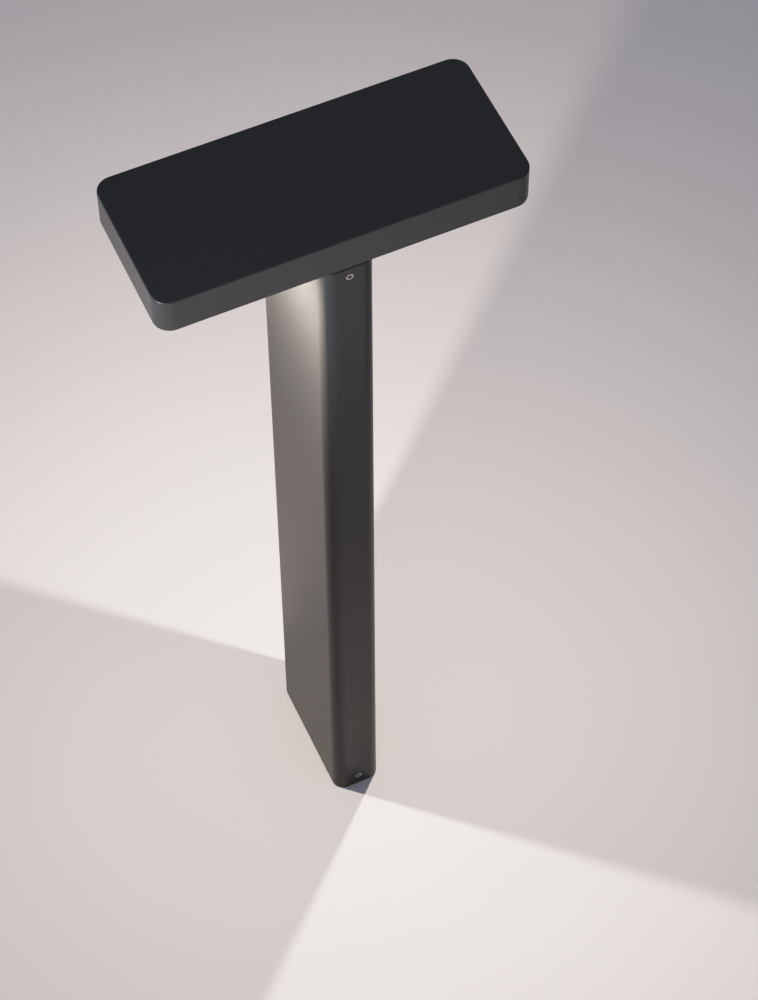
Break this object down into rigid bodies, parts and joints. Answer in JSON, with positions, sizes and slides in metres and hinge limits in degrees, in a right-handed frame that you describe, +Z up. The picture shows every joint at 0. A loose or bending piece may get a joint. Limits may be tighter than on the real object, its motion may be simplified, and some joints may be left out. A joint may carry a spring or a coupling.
{
  "type": "bollard light",
  "caption": "Low path light: flat rectangular post with a slab head overhanging both wide sides, lit from windows in its underside.",
  "frame": {"origin": "centre of the post's base, on the ground", "axes": "+Z up the post, X along the head's long side, Y along its short side; the screwed narrow post faces look along +Y and -Y"},
  "size_m": [0.24, 0.102, 0.65],
  "materials": {
    "powder_coat": "fine-texture satin anthracite powder coat on aluminium",
    "rubber_seal": "moulded black EPDM, matt",
    "stainless_steel": "cold-headed stainless steel, satin",
    "plain_aluminium": "mill-finish aluminium, sawn and drilled",
    "zinc_steel": "pressed zinc-plated steel sheet",
    "clear_glass": "clear toughened float glass",
    "white_reflector": "moulded white polycarbonate",
    "white_solder_mask": "white solder mask on an aluminium-core board",
    "led_phosphor": "yellow phosphor under a silicone dome, lit warm white",
    "white_nylon": "moulded natural nylon",
    "thermal_silicone": "soft silicone gap pad",
    "white_lead": "extruded PVC insulation, white",
    "black_nylon": "moulded black nylon",
    "white_driver_case": "extruded and moulded white ABS",
    "green_circuit_board": "green solder mask on glass-fibre board",
    "black_winding": "ferrite core with taped winding",
    "can_sleeve": "shrunk sleeve on aluminium can",
    "grey_terminal_plastic": "moulded grey polyamide",
    "orange_lever_plastic": "moulded orange polycarbonate",
    "tinned_copper": "tin-plated copper, pressed",
    "brown_wire": "extruded PVC insulation, brown",
    "blue_wire": "extruded PVC insulation, blue",
    "green_yellow_wire": "extruded PVC insulation, green and yellow",
    "black_cable": "extruded black rubber sheath"
  },
  "bodies": {
    "root": {"base_fixing_screws": "stainless_steel", "base_gasket": "rubber_seal", "cable_clips": "white_nylon", "driver_board": "green_circuit_board", "driver_cap_lower": "white_driver_case", "driver_cap_upper": "white_driver_case", "driver_capacitors": "can_sleeve", "driver_case": "white_driver_case", "driver_screws": "stainless_steel", "driver_transformer": "black_winding", "earth_lead": "green_yellow_wire", "earth_lug": "tinned_copper", "earth_screw": "stainless_steel", "earth_washer": "zinc_steel", "entry_grommet": "rubber_seal", "gear_tray": "zinc_steel", "gland_body": "black_nylon", "gland_cap": "black_nylon", "gland_nut": "black_nylon", "gland_ring": "rubber_seal", "head_fixing_screws": "stainless_steel", "head_housing": "powder_coat", "led_board_left": "white_solder_mask", "led_board_right": "white_solder_mask", "led_board_screws": "stainless_steel", "led_connector_left": "white_nylon", "led_connector_right": "white_nylon", "led_emitter_left": "led_phosphor", "led_emitter_right": "led_phosphor", "led_lead_left": "white_lead", "led_lead_right": "white_lead", "line_wire": "brown_wire", "mounting_foot": "plain_aluminium", "neck_gasket": "rubber_seal", "neutral_wire": "blue_wire", "output_cable": "black_cable", "post_tube": "powder_coat", "reflector_left": "white_reflector", "reflector_right": "white_reflector", "reflector_screws": "stainless_steel", "spigot": "plain_aluminium", "spigot_screws": "stainless_steel", "terminal_block": "grey_terminal_plastic", "terminal_contacts": "tinned_copper", "terminal_screws": "stainless_steel", "thermal_pad_left": "thermal_silicone", "thermal_pad_right": "thermal_silicone", "tray_screws": "stainless_steel", "underplate": "powder_coat", "underplate_gasket": "rubber_seal", "underplate_screws": "stainless_steel", "vent_plug": "black_nylon", "window_gasket_left": "rubber_seal", "window_gasket_right": "rubber_seal", "window_glass_left": "clear_glass", "window_glass_right": "clear_glass"},
    "line_lever_body": {"line_lever": "orange_lever_plastic"},
    "neutral_lever_body": {"neutral_lever": "orange_lever_plastic"},
    "earth_lever_body": {"earth_lever": "orange_lever_plastic"}
  },
  "joints": [
    {"name": "line_lever_hinge", "type": "hinge", "parent": "root", "child": "line_lever_body", "pos_m": [0.001, -0.012, 0.104], "axis": [0, -1, 0], "range_deg": [0, 85]},
    {"name": "neutral_lever_hinge", "type": "hinge", "parent": "root", "child": "neutral_lever_body", "pos_m": [0.001, 0, 0.104], "axis": [0, -1, 0], "range_deg": [0, 85]},
    {"name": "earth_lever_hinge", "type": "hinge", "parent": "root", "child": "earth_lever_body", "pos_m": [0.001, 0.012, 0.104], "axis": [0, -1, 0], "range_deg": [0, 85]}
  ]
}
